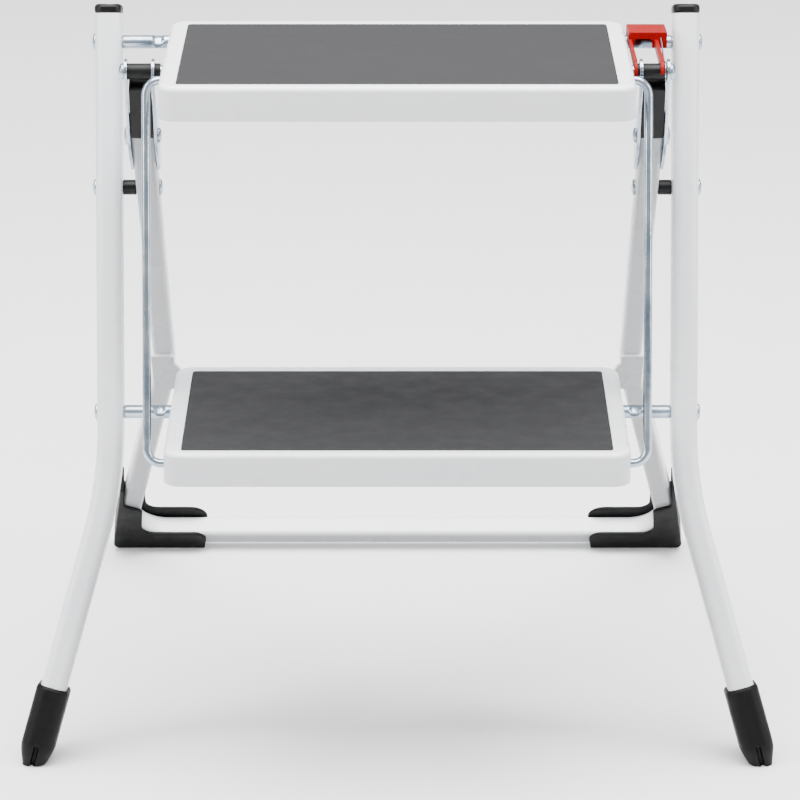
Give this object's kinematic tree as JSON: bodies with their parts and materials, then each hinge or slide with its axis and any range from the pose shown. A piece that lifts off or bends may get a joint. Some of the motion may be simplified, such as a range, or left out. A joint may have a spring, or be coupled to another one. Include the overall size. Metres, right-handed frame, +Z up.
{
  "type": "folding step stool",
  "caption": "Folding step stool with splayed tube legs, rubber-matted tray steps, wire tie rods and a red safety catch.",
  "frame": {"origin": "on the floor, in the middle of the outline of the open stool", "axes": "+X from left to right as a user faces the steps, +Y to the back, +Z up"},
  "size_m": [0.498, 0.4722, 0.4864],
  "materials": {
    "white_paint": "smooth white powder coat",
    "zinc": "bright blue-white zinc plate",
    "black_plastic": "moulded, satin",
    "black_rubber": "moulded, matte",
    "mat_rubber": "dark grey, fine grain",
    "red_plastic": "bright red, moulded"
  },
  "bodies": {
    "front_frame": {"front_leg_left": "white_paint", "front_leg_right": "white_paint", "leg_cap_left": "black_plastic", "leg_cap_right": "black_plastic", "front_foot_left": "black_rubber", "front_foot_right": "black_rubber", "pivot_rivet_left": "zinc", "pivot_rivet_right": "zinc", "pivot_spacer_left": "black_plastic", "pivot_spacer_right": "black_plastic", "upper_rod": "zinc", "lower_rod": "zinc"},
    "rear_frame": {"rear_tube": "white_paint", "support_bar": "zinc", "bracket_left": "zinc", "bracket_right": "zinc", "bar_block_left": "black_plastic", "bar_block_right": "black_plastic", "bracket_bolt_left": "zinc", "bracket_bolt_right": "zinc", "bar_sleeve_left": "black_plastic", "bar_sleeve_right": "black_plastic", "leg_pad_left": "white_paint", "leg_pad_right": "white_paint", "rear_boot_left": "black_rubber", "rear_boot_right": "black_rubber"},
    "top_step": {"top_tray": "white_paint", "top_mat": "mat_rubber"},
    "lower_step": {"lower_tray": "white_paint", "lower_mat": "mat_rubber"},
    "left_tie_rod": {"tie_rod_left": "zinc"},
    "right_tie_rod": {"tie_rod_right": "zinc"},
    "catch": {"catch_lever": "red_plastic", "catch_spring": "zinc"}
  },
  "joints": [
    {"name": "fold", "type": "hinge", "parent": "front_frame", "child": "rear_frame", "pos_m": [0, -0.08241, 0.367], "axis": [-1, 0, 0], "range_deg": [0, 48]},
    {"name": "top_step_turn", "type": "hinge", "parent": "front_frame", "child": "top_step", "pos_m": [0, -0.0581, 0.459], "axis": [-1, 0, 0], "range_deg": [0, 93.6]},
    {"name": "lower_step_turn", "type": "hinge", "parent": "front_frame", "child": "lower_step", "pos_m": [0, -0.12019, 0.224], "axis": [-1, 0, 0], "range_deg": [0, 93.6]},
    {"name": "left_tie_turn", "type": "hinge", "parent": "top_step", "child": "left_tie_rod", "pos_m": [0, -0.1611, 0.459], "axis": [1, 0, 0], "range_deg": [0, 93.6]},
    {"name": "right_tie_turn", "type": "hinge", "parent": "top_step", "child": "right_tie_rod", "pos_m": [0, -0.1611, 0.459], "axis": [1, 0, 0], "range_deg": [0, 93.6]},
    {"name": "catch_turn", "type": "hinge", "parent": "rear_frame", "child": "catch", "pos_m": [0, -0.1461, 0.461], "axis": [1, 0, 0], "range_deg": [0, 48]}
  ],
  "couplings": [
    {"joint": "top_step_turn", "follows": "fold", "ratio": 1.95},
    {"joint": "lower_step_turn", "follows": "fold", "ratio": 1.95},
    {"joint": "left_tie_turn", "follows": "fold", "ratio": 1.95},
    {"joint": "right_tie_turn", "follows": "fold", "ratio": 1.95},
    {"joint": "catch_turn", "follows": "fold", "ratio": 1}
  ]
}
